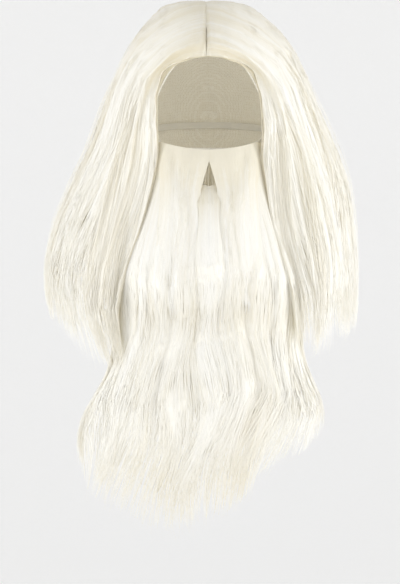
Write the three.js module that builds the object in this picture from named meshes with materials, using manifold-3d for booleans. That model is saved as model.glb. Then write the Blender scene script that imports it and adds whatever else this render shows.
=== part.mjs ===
// A long white wig with a centre parting and a matching full beard, as worn on a head.
// Millimetres, +Z up, the face looks along -Y. The origin is the inside of the cap at the crown.
import * as THREE from "three";
import { mergeVertices } from "three/addons/utils/BufferGeometryUtils.js";
import Module from "manifold-3d";

const wasm = await Module();
wasm.setup();

// The head that fills the cap: half its breadth, length and the height above its widest level
const HEAD = { halfWidth: 78, halfLength: 98, height: 115 };

const CAP = { wall: 1.5, rings: 9, spokes: 36 };
const SEAT_GAP = 0.4; // between pieces that are sewn to each other
const HAIR_SEAT = { wig: 1.3, beard: 1.8 }; // flat facets of the hair clear the curved cap and backing
// The parting lies a little to one side; the hair's edges stay clear of it, and the shift fades out
const PARTING = { x: -3, halfWidth: 1.6, wall: 1.0, backY: -12, frontY: -78, hairEdge: 2.0, fade: 110 };
const ELASTIC = { width: 8, wall: 1.2, clear: 1.3, frontY: -28.6, sideDrop: 148, backDrop: 122 };
const BACKING_WALL = 1.5;
const MOUTH = { apexDrop: 179, baseDrop: 210, apexHalfWidth: 2.5, baseHalfWidth: 10 };

// A lock of hair: its ridge rises between two valleys, by a share of its height that varies, and
// gathers to a thin tip over the last part of its length. The valleys end higher than the tips.
const LOCK = { columns: 3, ridge: 5, leastRidge: 0.6, mostRidge: 1.15 };
const TIP = { from: 0.72, thickness: 3, gather: 0.6, notch: 36, uneven: 26 };
const ROOT_RISE = { wig: 12, beard: 26, ridge: 70 }; // run from a thin root to full depth and ridge
const ROOT_SHARE = 0.2; // of the full depth, at the root

// Lower edge of the cap, as drop below the crown against the angle from the face
const CAP_RIM = [
  { angle: 0, drop: 53 },
  { angle: 15, drop: 57 },
  { angle: 27, drop: 72 },
  { angle: 40, drop: 100 },
  { angle: 66, drop: 127 },
  { angle: 92, drop: 115 },
  { angle: 120, drop: 138 },
  { angle: 150, drop: 158 },
  { angle: 180, drop: 164 },
];

// Outside of the wig's hair: half widths of its level sections, from the crown to the lowest tips
const BELL = [
  { drop: -19, left: 0, right: 0, front: 0, back: 0 },
  { drop: -9, left: 57, right: 56, front: 58, back: 66 },
  { drop: 18, left: 79, right: 82, front: 84, back: 97 },
  { drop: 53, left: 98, right: 103, front: 98, back: 115 },
  { drop: 100, left: 119, right: 122, front: 104, back: 127 },
  { drop: 150, left: 136, right: 144, front: 106, back: 131 },
  { drop: 200, left: 161, right: 162, front: 116, back: 133 },
  { drop: 250, left: 183, right: 171, front: 127, back: 135 },
  { drop: 310, left: 196, right: 177, front: 137, back: 138 },
  { drop: 350, left: 190, right: 177, front: 145, back: 141 },
  { drop: 400, left: 168, right: 168, front: 155, back: 143 },
  { drop: 440, left: 148, right: 152, front: 158, back: 143 },
];

// How the wig's hair falls, from the face edge (at 0) to the middle of the back (at 1): distance of
// the root from the crown along the parting, run in which the lock turns to the side, its angle from
// the face at the root, at the temple and at the tip, and the drop of the tip on each side
const FALL = [
  { at: 0.0, root: 136, sweep: 32, start: 0, temple: 27, tip: 36, left: 412, right: 397 },
  { at: 0.18, root: 104, sweep: 95, start: 0, temple: 44, tip: 50, left: 414, right: 398 },
  { at: 0.4, root: 56, sweep: 125, start: 0, temple: 73, tip: 78, left: 366, right: 372 },
  { at: 0.56, root: 16, sweep: 122, start: 0, temple: 100, tip: 101, left: 368, right: 376 },
  { at: 0.62, root: 8, sweep: 120, start: 50, temple: 112, tip: 112, left: 374, right: 380 },
  { at: 1.0, root: 5, sweep: 90, start: 180, temple: 180, tip: 180, left: 430, right: 430 },
];
const SIDE_END = 0.62; // where the side hair stops and the back hair begins
const SIDE_SEAM = 0.6; // degrees left free between side hair and back hair
const HANG = { thickness: 26, leavesHead: 95, free: 175 }; // drops between which hair leaves the head
const DRIFT = { from: 160, to: 400 }; // drops over which a lock goes from its temple to its tip angle
const SWAY = { degrees: 2.2, run: 170, shift: 31 }; // waves of the hanging locks
// The hair thins out towards the face: it lies close to the head above the temple and stands off below
const FACE_EDGE = { depth: 0.42, width: 0.1, liftsFrom: 70, lifted: 140 };
const LOCKS = { side: 8, back: 8, beard: 11, moustache: 3 };
const ROWS = { wig: 16, beard: 17, moustache: 14, parting: 10, elastic: 40 };
const BUNCHED = { wig: 1.6, beard: 1.25 }; // how much closer the rows lie at the roots
const CHANCE = { side: 3, back: 7, beard: 11, moustache: 17 }; // one row of chance per mass of hair

// The jaw under the backing: half breadth, and how far forward its ends and its middle lie
const JAW = [
  { drop: 140, halfWidth: 69, end: -29, front: -98 },
  { drop: 165, halfWidth: 68, end: -30, front: -100 },
  { drop: 205, halfWidth: 65, end: -31, front: -101 },
  { drop: 230, halfWidth: 57, end: -35, front: -98 },
  { drop: 246, halfWidth: 48, end: -40, front: -86 },
];
// Upper and lower edge of the backing, from its middle (turn 0) to its ends (turn 1)
const BACKING_EDGE = [
  { turn: 0, top: 163, bottom: 246 },
  { turn: 0.5, top: 159, bottom: 240 },
  { turn: 0.75, top: 152, bottom: 212 },
  { turn: 1, top: 143, bottom: 172 },
];

// Outside of the beard: half widths of its level sections, and how far forward its edge and middle lie
const BEARD = [
  { drop: 145, left: 70, right: 70, edge: -31, front: -103 },
  { drop: 200, left: 75, right: 75, edge: -42, front: -111 },
  { drop: 235, left: 83, right: 83, edge: -54, front: -118 },
  { drop: 270, left: 94, right: 93, edge: -68, front: -123 },
  { drop: 310, left: 104, right: 103, edge: -79, front: -126 },
  { drop: 345, left: 109, right: 108, edge: -85, front: -127 },
  { drop: 380, left: 113, right: 112, edge: -89, front: -133 },
  { drop: 420, left: 121, right: 117, edge: -95, front: -138 },
  { drop: 470, left: 138, right: 130, edge: -102, front: -137 },
  { drop: 515, left: 142, right: 133, edge: -106, front: -134 },
  { drop: 560, left: 138, right: 120, edge: -106, front: -132 },
  { drop: 600, left: 130, right: 105, edge: -106, front: -130 },
];
// Root and tip of the beard's locks, from its left edge (across -1) to its right edge (across 1)
const BEARD_FALL = [
  { across: -1, root: 146, tip: 508 },
  { across: -0.8, root: 154, tip: 545 },
  { across: -0.5, root: 161, tip: 568 },
  { across: -0.3, root: 207, tip: 590 },
  { across: 0, root: 214, tip: 596 },
  { across: 0.3, root: 207, tip: 566 },
  { across: 0.5, root: 161, tip: 534 },
  { across: 0.8, root: 154, tip: 508 },
  { across: 1, root: 146, tip: 484 },
];
// The hanging beard is thinner at its edges, leaves the backing between two drops and has ridges from
// the chin down
const BEARD_HANG = { thickness: 25, edgeShare: 0.7, leavesChin: 222, free: 272 };
const BEARD_RIDGES = { from: 215, full: 300 };
const BEARD_SWEEP = { x: -18, from: 430, to: 600 }; // its lower end is swept to one side

// Half of the moustache: distance of its inner and outer edge from the middle, and its depth
const MOUSTACHE = [
  { drop: 163, inner: 0.9, outer: 47, depth: 3 },
  { drop: 178, inner: 1.4, outer: 51, depth: 8 },
  { drop: 195, inner: 5.6, outer: 54, depth: 10 },
  { drop: 209, inner: 9.6, outer: 55, depth: 11 },
  { drop: 240, inner: 12, outer: 57, depth: 10 },
  { drop: 285, inner: 15, outer: 60, depth: 9 },
  { drop: 325, inner: 22, outer: 59, depth: 6 },
  { drop: 352, inner: 31, outer: 51, depth: 3 },
];
const MOUSTACHE_TOP = 5; // its upper edge rises this much towards the cheek
const MOUSTACHE_CLEAR = 2.4; // above the beard's ridges
const MOUSTACHE_STEP = { from: -16, to: -4 }; // it steps up onto the beard before the beard's root
const MOUSTACHE_LOCK = { ragged: 0.6, ridge: 0.4, round: 0.14 }; // shares of the long hair's locks

const HAIR = { color: 0xf1ede0, roughness: 0.55, metalness: 0 };
const NET = { color: 0xe9e2d0, roughness: 0.85, metalness: 0 };
const CLOTH = { color: 0xeee9da, roughness: 0.9, metalness: 0 };
const BAND = { color: 0xf4f2ea, roughness: 0.8, metalness: 0 };

const { clamp, smoothstep, lerp, degToRad, radToDeg } = THREE.MathUtils;

// A smooth curve through one column of a table, read against a column that rises from row to row
function curve(rows, along, column) {
  const keys = rows.map((row) => row[along]);
  const values = rows.map((row) => row[column]);
  const interpolant = new THREE.CubicInterpolant(keys, values, 1, new Float64Array(1));
  return (key) => interpolant.evaluate(key)[0];
}

// All the columns of a table as curves against one of them
function curves(rows, along) {
  const columns = Object.keys(rows[0]).filter((column) => column !== along);
  const made = columns.map((column) => [column, curve(rows, along, column)]);
  return Object.fromEntries(made);
}

// A number from 0 to 1 that differs from lock to lock and is the same in every build
function vary(lock, salt) {
  const wave = Math.sin(lock * 12.9898 + salt * 78.233) * 43758.5453;
  return wave - Math.floor(wave);
}

// A geometry with every vertex sent through a function
function warp(geometry, place) {
  const made = geometry.clone();
  made.deleteAttribute("normal");
  made.deleteAttribute("uv");
  const points = made.getAttribute("position");
  const point = new THREE.Vector3();
  for (let i = 0; i < points.count; i += 1) {
    point.fromBufferAttribute(points, i);
    points.setXYZ(i, ...place(point).toArray());
  }
  return mergeVertices(made, 1e-4);
}

// A wall made from a block: across and along run from 0 to 1 over it, and out from its back to its face
function wall(columns, rows, place) {
  const block = new THREE.BoxGeometry(1, 1, 1, columns, rows, 1);
  return warp(block, (p) => place(p.x + 0.5, 0.5 - p.y, p.z + 0.5));
}

function solidOf(geometry) {
  const vertProperties = new Float32Array(geometry.getAttribute("position").array);
  const triVerts = new Uint32Array(geometry.index.array);
  return new wasm.Manifold(new wasm.Mesh({ numProp: 3, vertProperties, triVerts }));
}

function geometryOf(solid) {
  const mesh = solid.getMesh();
  const positions = new THREE.BufferAttribute(new Float32Array(mesh.vertProperties), 3);
  const made = new THREE.BufferGeometry().setAttribute("position", positions);
  made.setIndex(new THREE.BufferAttribute(new Uint32Array(mesh.triVerts), 1));
  return made;
}

// A point of the head, or clear of it by a height, at a drop below the crown and an angle from the face
function headPoint(angle, drop, clear) {
  const lean = Math.acos(1 - drop / HEAD.height);
  return new THREE.Vector3(
    (HEAD.halfWidth + clear) * Math.sin(lean) * Math.sin(angle),
    -(HEAD.halfLength + clear) * Math.sin(lean) * Math.cos(angle),
    (HEAD.height + clear) * Math.cos(lean) - HEAD.height,
  );
}

// A point clear of the head by a height, where a ray from inside the head comes out
function onHead(through, clear) {
  const core = new THREE.Vector3(0, 0, Math.min(through.z, -HEAD.height));
  const ray = through.clone().sub(core).normalize();
  const reach = Math.hypot(
    ray.x / (HEAD.halfWidth + clear),
    ray.y / (HEAD.halfLength + clear),
    ray.z / (HEAD.height + clear),
  );
  return core.add(ray.divideScalar(reach));
}

// The cap: a disc of two faces drawn down over the head to its rim
function capGeometry() {
  const rim = curve(CAP_RIM, "angle", "drop");
  const steps = Array.from({ length: CAP.rings + 1 }, (_, ring) => ring / CAP.rings);
  const outer = steps.map((share) => new THREE.Vector2(share, 1));
  const inner = steps.map((share) => new THREE.Vector2(share, 0)).reverse();
  const disc = new THREE.LatheGeometry([...outer, ...inner], CAP.spokes);
  return warp(disc, (p) => {
    const share = Math.hypot(p.x, p.z);
    const angle = Math.atan2(p.x, -p.z);
    const rimDrop = rim(Math.abs(radToDeg(angle)));
    const rimLean = Math.acos(1 - rimDrop / HEAD.height);
    const drop = HEAD.height * (1 - Math.cos(share * rimLean));
    return headPoint(angle, drop, p.y * CAP.wall);
  });
}

// The outside of the wig against the run from the crown, measured along its mean profile
function bellAgainstRun() {
  let run = 0;
  const rows = BELL.map((row, i) => {
    if (i > 0) {
      const last = BELL[i - 1];
      const widening = (row.left + row.right - last.left - last.right) / 2;
      run += Math.hypot(row.drop - last.drop, widening);
    }
    return { run, ...row };
  });
  return { section: curves(rows, "run"), runAt: curve(rows, "drop", "run") };
}
const bell = bellAgainstRun();
const fall = curves(FALL, "at");

// Where a lock of the wig is: side is -1 left or 1 right, at runs from the face edge to the back
function wigPlace(side, at, along, shortened) {
  const begin = fall.root(at);
  const tipDrop = (side < 0 ? fall.left(at) : fall.right(at)) - shortened;
  const run = lerp(begin, bell.runAt(tipDrop), along ** BUNCHED.wig);
  const turn = 1 - (1 - Math.min(1, (run - begin) / fall.sweep(at))) ** 3;
  const drop = bell.section.drop(run);
  const hanging = smoothstep(drop, DRIFT.from, DRIFT.to);
  const wave = Math.sin((run / SWAY.run) * 2 * Math.PI + at * SWAY.shift);
  const sway = SWAY.degrees * hanging * wave * Math.sin(at * Math.PI); // none at the face or mid-back
  const settled = lerp(fall.temple(at), fall.tip(at), hanging);
  const angle = degToRad(lerp(fall.start(at), settled, turn) + sway);
  const width = side < 0 ? bell.section.left(run) : bell.section.right(run);
  const depth = Math.cos(angle) > 0 ? bell.section.front(run) : bell.section.back(run);
  const aside = PARTING.x * (1 - smoothstep(run - begin, 0, PARTING.fade));
  const x = side * width * Math.sin(angle) + aside;
  const outer = new THREE.Vector3(x, -depth * Math.cos(angle), -drop);
  return { outer, drop, fromRoot: run - begin };
}

// A point of the wig's hair, from its inside (out 0) to its outside (out 1)
function wigPoint(side, at, along, out, ridge, shortened, edge) {
  const { outer, drop, fromRoot } = wigPlace(side, at, along, shortened);
  const seat = onHead(outer, CAP.wall + HAIR_SEAT.wig);
  const core = new THREE.Vector3(0, 0, Math.min(outer.z, -HEAD.height));
  const inward = core.sub(outer).normalize();
  const tip = smoothstep(along, TIP.from, 1);
  const hang = lerp(HANG.thickness, TIP.thickness, tip);
  const free = outer.clone().addScaledVector(inward, hang);
  const inner = seat.lerp(free, smoothstep(drop, HANG.leavesHead, HANG.free));
  const rise = lerp(ROOT_SHARE, 1, smoothstep(fromRoot, 0, ROOT_RISE.wig));
  outer.addScaledVector(inward, -ridge * (1 - tip) * smoothstep(fromRoot, 0, ROOT_RISE.ridge));
  const lift = (1 - edge) * smoothstep(drop, FACE_EDGE.liftsFrom, FACE_EDGE.lifted);
  return inner.lerp(outer, lift + out * rise * edge);
}

// Which lock a column belongs to, its ridge, how much shorter its valley is, and where it gathers to
function lockAt(across, count, salt, along) {
  const column = Math.round(across * count * LOCK.columns);
  const lock = Math.min(count - 1, Math.floor(column / LOCK.columns));
  const valley = column % LOCK.columns === 0;
  const middle = (lock + 0.5) / count;
  const gather = valley ? 0 : TIP.gather * smoothstep(along, TIP.from, 1);
  return {
    across: lerp(across, middle, gather),
    ridge: valley ? 0 : LOCK.ridge * lerp(LOCK.leastRidge, LOCK.mostRidge, vary(lock, salt)),
    shortened: valley ? TIP.notch : TIP.uneven * vary(lock, salt + 1),
  };
}

function sideHair(side) {
  return wall(LOCKS.side * LOCK.columns, ROWS.wig, (across, along, out) => {
    const lock = lockAt(side < 0 ? 1 - across : across, LOCKS.side, CHANCE.side + side, along);
    const at = lock.across * SIDE_END;
    const edge = lerp(FACE_EDGE.depth, 1, smoothstep(at, 0, FACE_EDGE.width));
    const point = wigPoint(side, at, along, out, lock.ridge, lock.shortened, edge);
    const clear = PARTING.x + side * PARTING.hairEdge;
    point.x = side * Math.max(side * point.x, side * clear);
    return point;
  });
}

function backHair() {
  return wall(LOCKS.back * LOCK.columns, ROWS.wig, (across, along, out) => {
    const lock = lockAt(across, LOCKS.back, CHANCE.back, along);
    const offset = 1 - 2 * lock.across; // 1 at the right end, -1 at the left end
    const seam = SIDE_SEAM / (fall.temple(1) - fall.temple(SIDE_END));
    const at = 1 - Math.abs(offset) * (1 - SIDE_END) * (1 - seam);
    return wigPoint(Math.sign(offset) || 1, at, along, out, lock.ridge, lock.shortened, 1);
  });
}

// The strip along the parting, on top of the cap
function partingSeam() {
  return wall(1, ROWS.parting, (across, along, out) => {
    const y = lerp(PARTING.backY, PARTING.frontY, along);
    const x = PARTING.x + (across - 0.5) * 2 * PARTING.halfWidth;
    const height = Math.sqrt(1 - (y / HEAD.halfLength) ** 2 - (x / HEAD.halfWidth) ** 2);
    const skin = new THREE.Vector3(x, y, HEAD.height * (height - 1));
    return onHead(skin, CAP.wall + SEAT_GAP + out * PARTING.wall);
  });
}

const jaw = curves(JAW, "drop");
const backingEdge = curves(BACKING_EDGE, "turn");

// A point clear of the jaw by a height: turn runs from -1 at the left end to 1 at the right end
function onJaw(turn, drop, clear) {
  const angle = (turn * Math.PI) / 2;
  const x = (jaw.halfWidth(drop) + clear) * Math.sin(angle);
  const y = lerp(jaw.end(drop), jaw.front(drop) - clear, Math.cos(angle));
  return new THREE.Vector3(x, y, -drop);
}

function beardBacking() {
  const PANEL = { columns: 22, rows: 7 };
  const CUT = { from: -70, to: -130 };
  const panel = wall(PANEL.columns, PANEL.rows, (across, along, out) => {
    const turn = 2 * across - 1;
    const edge = Math.abs(turn);
    const drop = lerp(backingEdge.top(edge), backingEdge.bottom(edge), along);
    return onJaw(turn, drop, out * BACKING_WALL);
  });
  const outline = new THREE.Shape();
  outline.moveTo(-MOUTH.apexHalfWidth, -MOUTH.apexDrop);
  outline.lineTo(-MOUTH.baseHalfWidth, -MOUTH.baseDrop);
  outline.lineTo(MOUTH.baseHalfWidth, -MOUTH.baseDrop);
  outline.lineTo(MOUTH.apexHalfWidth, -MOUTH.apexDrop);
  const cut = new THREE.ExtrudeGeometry(outline, { depth: CUT.from - CUT.to, bevelEnabled: false });
  const cutter = warp(cut, (p) => new THREE.Vector3(p.x, CUT.from - p.z, p.y));
  return geometryOf(solidOf(panel).subtract(solidOf(cutter)));
}

const beard = curves(BEARD, "drop");
const beardFall = curves(BEARD_FALL, "across");

// The outside of the beard at a level, from its left edge (turn -1) to its right edge (turn 1)
function beardOutside(turn, drop) {
  const angle = (turn * Math.PI) / 2;
  const width = turn < 0 ? beard.left(drop) : beard.right(drop);
  const sweep = BEARD_SWEEP.x * smoothstep(drop, BEARD_SWEEP.from, BEARD_SWEEP.to);
  const y = lerp(beard.edge(drop), beard.front(drop), Math.cos(angle));
  return new THREE.Vector3(width * Math.sin(angle) + sweep, y, -drop);
}

// A point of the beard's hair, from its inside (out 0) to its outside (out 1)
function beardPoint(turn, drop, out, ridge, tip) {
  const outer = beardOutside(turn, drop);
  const free = outer.clone();
  const facing = Math.cos((turn * Math.PI) / 2);
  free.y += lerp(BEARD_HANG.thickness, TIP.thickness, tip) * lerp(BEARD_HANG.edgeShare, 1, facing);
  const seat = onJaw(turn, drop, BACKING_WALL + HAIR_SEAT.beard);
  const inner = seat.lerp(free, smoothstep(drop, BEARD_HANG.leavesChin, BEARD_HANG.free));
  outer.y -= ridge * (1 - tip) * smoothstep(drop, BEARD_RIDGES.from, BEARD_RIDGES.full);
  const rise = lerp(ROOT_SHARE, 1, smoothstep(drop - beardFall.root(turn), 0, ROOT_RISE.beard));
  return inner.lerp(outer, out * rise);
}

function beardHair() {
  return wall(LOCKS.beard * LOCK.columns, ROWS.beard, (across, along, out) => {
    const lock = lockAt(across, LOCKS.beard, CHANCE.beard, along);
    const turn = 2 * lock.across - 1;
    const tipDrop = beardFall.tip(turn) - lock.shortened;
    const drop = lerp(beardFall.root(turn), tipDrop, along ** BUNCHED.beard);
    return beardPoint(turn, drop, out, lock.ridge, smoothstep(along, TIP.from, 1));
  });
}

// How far round a section of some half width a point is that lies at a distance from the middle
function turnAt(x, halfWidth) {
  return (Math.asin(clamp(x / halfWidth, -1, 1)) * 2) / Math.PI;
}

// Half of the moustache lies on the backing beside the mouth, and on the beard below it
function moustache(side) {
  const edge = curves(MOUSTACHE, "drop");
  return wall(LOCKS.moustache * LOCK.columns, ROWS.moustache, (across, along, out) => {
    const lock = lockAt(side < 0 ? 1 - across : across, LOCKS.moustache, CHANCE.moustache + side, along);
    const top = MOUSTACHE[0].drop - MOUSTACHE_TOP * lock.across ** 2;
    const tipDrop = MOUSTACHE.at(-1).drop - lock.shortened * MOUSTACHE_LOCK.ragged;
    const drop = lerp(top, tipDrop, along);
    const x = side * lerp(edge.inner(drop), edge.outer(drop), lock.across);
    const backing = onJaw(turnAt(x, jaw.halfWidth(drop)), drop, BACKING_WALL + HAIR_SEAT.beard);
    const beardTurn = turnAt(x, side < 0 ? beard.left(drop) : beard.right(drop));
    const hair = beardPoint(beardTurn, drop, 1, LOCK.ridge, 0);
    const pastRoot = drop - beardFall.root(beardTurn);
    const step = smoothstep(pastRoot, MOUSTACHE_STEP.from, MOUSTACHE_STEP.to);
    const seat = lerp(backing.y, hair.y - MOUSTACHE_CLEAR, step);
    const round = Math.sin(Math.PI * lerp(MOUSTACHE_LOCK.round, 1 - MOUSTACHE_LOCK.round, lock.across));
    const depth = edge.depth(drop) * round + lock.ridge * MOUSTACHE_LOCK.ridge;
    return new THREE.Vector3(x, seat - out * depth, -drop);
  });
}

// The band from one end of the backing round the back of the head, inside the cap
function beardElastic() {
  return wall(ROWS.elastic, 1, (across, along, out) => {
    const aside = Math.abs(2 * across - 1); // 1 at the ends, 0 in the middle of the back
    const middle = lerp(ELASTIC.backDrop, ELASTIC.sideDrop, aside ** 2);
    const drop = middle + (along - 0.5) * ELASTIC.width;
    const clear = -ELASTIC.clear - (1 - out) * ELASTIC.wall;
    const begin = Math.acos(ELASTIC.frontY / headPoint(0, drop, clear).y);
    return headPoint(lerp(begin, 2 * Math.PI - begin, across), drop, clear);
  });
}

function piece(name, geometry, look) {
  const mesh = new THREE.Mesh(geometry, new THREE.MeshStandardMaterial(look));
  mesh.name = name;
  return mesh;
}

const santaWig = new THREE.Group();
santaWig.add(
  piece("wig_cap", capGeometry(), NET),
  piece("parting_seam", partingSeam(), CLOTH),
  piece("hair_left", sideHair(-1), HAIR),
  piece("hair_right", sideHair(1), HAIR),
  piece("hair_back", backHair(), HAIR),
  piece("beard_backing", beardBacking(), CLOTH),
  piece("beard_hair", beardHair(), HAIR),
  piece("moustache_left", moustache(-1), HAIR),
  piece("moustache_right", moustache(1), HAIR),
  piece("beard_elastic", beardElastic(), BAND),
);

export default santaWig;
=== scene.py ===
"""A long white wig with a centre parting and a matching full beard, as worn on a head."""
import math
from dataclasses import dataclass
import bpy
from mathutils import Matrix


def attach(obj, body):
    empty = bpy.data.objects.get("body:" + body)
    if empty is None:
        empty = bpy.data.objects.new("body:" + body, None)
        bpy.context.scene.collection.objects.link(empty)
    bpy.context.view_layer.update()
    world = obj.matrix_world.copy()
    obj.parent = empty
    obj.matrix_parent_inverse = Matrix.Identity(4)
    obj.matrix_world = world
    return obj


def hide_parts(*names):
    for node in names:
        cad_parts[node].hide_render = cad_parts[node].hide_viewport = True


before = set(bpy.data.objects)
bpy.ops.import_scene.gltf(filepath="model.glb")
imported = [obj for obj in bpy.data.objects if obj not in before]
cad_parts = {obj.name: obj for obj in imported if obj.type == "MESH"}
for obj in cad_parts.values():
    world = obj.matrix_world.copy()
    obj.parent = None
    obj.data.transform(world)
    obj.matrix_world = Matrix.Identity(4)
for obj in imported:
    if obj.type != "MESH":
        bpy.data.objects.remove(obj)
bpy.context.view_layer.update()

from types import SimpleNamespace as Named

import bmesh
import bpy
import numpy as np

# Lengths are in millimetres until a mesh is made. The face looks along -Y, the crown is at z 0
MM = 0.001

# The head that fills the cap: half its breadth, length and the height above its widest level
HEAD = Named(half_width=78, half_length=98, height=115)
CAP_WALL = 1.5
HAIR_CLEAR = 1.3  # from the cap to the hair that lies on it
PARTING = Named(x=-3, half_width=1.6, wall=1.0, rounded=0.4, seat=0.4, back_y=-12, front_y=-78, fade=110)
# The parting line: open in front, in the outer part of the hair, and crossed by strands behind
GROOVE = Named(half_width=0.6, floor=0.9, rim=1.0, opens_y=-80, closes_y=-64, overlap=2.8, reach=12)
SIDE_END = 0.62  # where the side hair stops and the back hair begins
SIDE_LAP = 0.02  # share of the back hair that laps under the side hair
# Powers that set the steps along the hair closer at its root than at its tip
WIG_PACE = 1.6
BEARD_PACE = 1.25
HANG = Named(thickness=26, leaves_head=95, free=175)
BEARD_HANG = Named(thickness=25, edge_share=0.7, leaves_chin=222, free=272)
BEARD_CLEAR = 3.3  # from the jaw to the beard's hair, with the backing in between
OVAL = 0.45  # how far the way out of the beard's flat oval section turns aside
# Locks: height of their ridges and the run or drops over which they rise, how uneven they end
LOCK = Named(
    ridge=3.6, crest=1.12, least=0.6, most=1.15, notch=36, uneven=26,
    wig_rise=(0, 70), beard_rise=(215, 300),
)
# Tresses in the locks: ridges across the whole hair, their heights, the run over which they rise
TRESS = Named(broad=17, fine=39, heights=(0.6, 0.3), rises=(15, 90), beard_top=170, beard_salt=5)
TIP = Named(start=0.72, thickness=3)
# Share of the full depth of the hair at its root, and the run over which it fills out
ROOT = Named(hairline=0.35, crown=0.75, fills=(0.05, 0.4), wig_run=16, beard=0.2, beard_run=22)
# Bends pressed into the hair beside the parting: runs and places at which they begin and fade
CRIMP = Named(height=1.3, pitch=33, begins=(6, 22), fades=(80, 140), front=(0.35, 0.55))
# How the hanging hair swings aside and how the corner of the face opening draws open, in degrees
SWAY = Named(angle=3.0, pitch=170, drops=(160, 400))
CORNER = Named(angle=6, at=(0.02, 0.14), drops=(85, 145))
# The thin front edge of the side hair: shares of the depth and of the way round, and drops
FRONT = Named(
    upper=0.42, lower=0.15, thins=(170, 240), narrow=0.13, wide=0.24, widens=(130, 210),
    lifts=(70, 140), settles=(135, 180),
)
# The beard's upper edge rises below the mouth, with a dip in the middle, and a little on the cheeks
LIP = Named(dip=3, dips=(0, 0.1), rise=11, rises=(0.1, 0.3))
CHEEK = Named(rise=4, begins=(0.35, 0.5), ends=(0.5, 0.64))
# The beard swells at the chin, waves as it hangs, creases below the moustache and sweeps aside
CHIN = Named(swell=6, turns=(0.07, 0.17), begins=(212, 226), ends=(280, 350))
WAVE = Named(aside=6, forward=2, pitch=150, loosens=(250, 400))
CREASE = Named(height=3.5, pitch=78, middle=378, begins=(285, 325), ends=(420, 480))
SWEEP = Named(whole=18, drops=(430, 600), right=6, right_drops=(440, 560), turns=(-0.2, 0.8))


def table(names, *rows):
    """The columns of a small table, by name."""
    return dict(zip(names.split(), np.array(rows, dtype=float).T))


CAP_RIM = table(
    "angle drop",
    (0, 50), (15, 52), (27, 58), (40, 76), (52, 104),
    (66, 127), (92, 115), (120, 138), (150, 158), (180, 164),
)
# Upper and lower edge of the beard's backing, from its middle (turn 0) to its ends (turn 1)
BACKING_EDGE = table(
    "turn top bottom",
    (0, 163, 246),
    (0.5, 160, 240),
    (0.75, 156, 212),
    (1, 147, 172),
)
BACKING = Named(wall=1.5, hem=4.5, hem_rise=0.5, columns=88, rows=40, half_arc=108)
# The mouth opening, and the block of the backing's rows and columns that is cut out for it
MOUTH = Named(apex_drop=179.6, base_drop=210.7, apex_half_width=2.5, base_half_width=10)
MOUTH_BLOCK = Named(columns=1 / 11, first_row=0.2, last_row=0.575)
ELASTIC = Named(width=8, wall=1.2, clear=1.3, front_y=-28.6, side_drop=148, back_drop=122)
RIBS = Named(count=5, depth=0.16)
# Outside of the wig's hair: half widths of its level sections, from the crown to the lowest tips
BELL = table(
    "drop left right front back",
    (-19, 0, 0, 0, 0),
    (-9, 52, 51, 54, 63),
    (18, 77, 80, 83, 97),
    (53, 98, 103, 98, 115),
    (100, 119, 122, 104, 127),
    (150, 136, 144, 106, 131),
    (200, 161, 162, 116, 133),
    (250, 183, 171, 127, 135),
    (310, 196, 177, 137, 138),
    (350, 190, 177, 145, 141),
    (400, 168, 168, 155, 143),
    (440, 148, 152, 158, 143),
)
# How the wig's hair falls, from the face edge (at 0) to the middle of the back (at 1): distance of
# the root from the crown, run in which it turns to the side, angles from the face, drops of the tips
FALL = table(
    "at root sweep start temple tip left right",
    (0.00, 128, 24, 0, 28, 36, 412, 397),
    (0.18, 104, 95, 0, 44, 50, 414, 398),
    (0.40, 56, 125, 0, 73, 78, 366, 372),
    (0.56, 13, 122, 0, 100, 101, 368, 376),
    (0.62, 2, 120, 50, 112, 112, 374, 380),
    (1.00, 1, 90, 180, 180, 180, 430, 430),
)
JAW = table(
    "drop half_width end front",
    (140, 69, -29, -98),
    (165, 68, -30, -100),
    (205, 65, -31, -101),
    (230, 57, -35, -98),
    (246, 48, -40, -86),
)
# Outside of the beard: half widths of its level sections, how far forward its edge and middle lie
BEARD = table(
    "drop left right edge front",
    (145, 70, 70, -31, -103),
    (200, 75, 75, -42, -111),
    (235, 83, 83, -54, -118),
    (270, 94, 93, -68, -123),
    (310, 104, 103, -79, -126),
    (345, 109, 108, -85, -127),
    (380, 113, 112, -89, -133),
    (420, 121, 117, -95, -138),
    (470, 138, 130, -102, -137),
    (515, 142, 133, -106, -134),
    (560, 138, 120, -106, -132),
    (600, 130, 105, -106, -130),
)
BEARD_FALL = table(
    "across root tip",
    (-1.0, 153, 508),
    (-0.8, 158, 545),
    (-0.5, 161, 568),
    (-0.3, 207, 590),
    (0.0, 214, 596),
    (0.3, 207, 566),
    (0.5, 161, 534),
    (0.8, 157, 508),
    (1.0, 152, 484),
)
# Half of the moustache: distance of its inner and outer edge from the middle, and its depth
MOUSTACHE = table(
    "drop inner outer depth",
    (163, 0.9, 47, 3),
    (178, 1.4, 51, 8),
    (195, 5.6, 54, 10),
    (209, 9.6, 55, 11),
    (240, 12, 57, 10),
    (285, 15, 60, 9),
    (325, 22, 59, 6),
    (352, 31, 51, 3),
)
# What each half adds to that: its root and tips, how its edges part, close and flare, ridges and depth
HALF = Named(
    root=164.5, arch=10.5, tip=362, uneven=0.6, step=(-16, -4), sunk=0.6,
    parted=2.5, parts=(168, 185), closed=7, closes=(215, 250), flared=8, flares=(175, 210),
    under=(0.7, 0.2), flattens=(215, 290), ridge=0.4, rises=(0, 0.2),
    least=0.3, swells=157, run=18, thins=0.92, thinning=(225, 320), corner=0.14, rounds=(195, 225),
)


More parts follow.
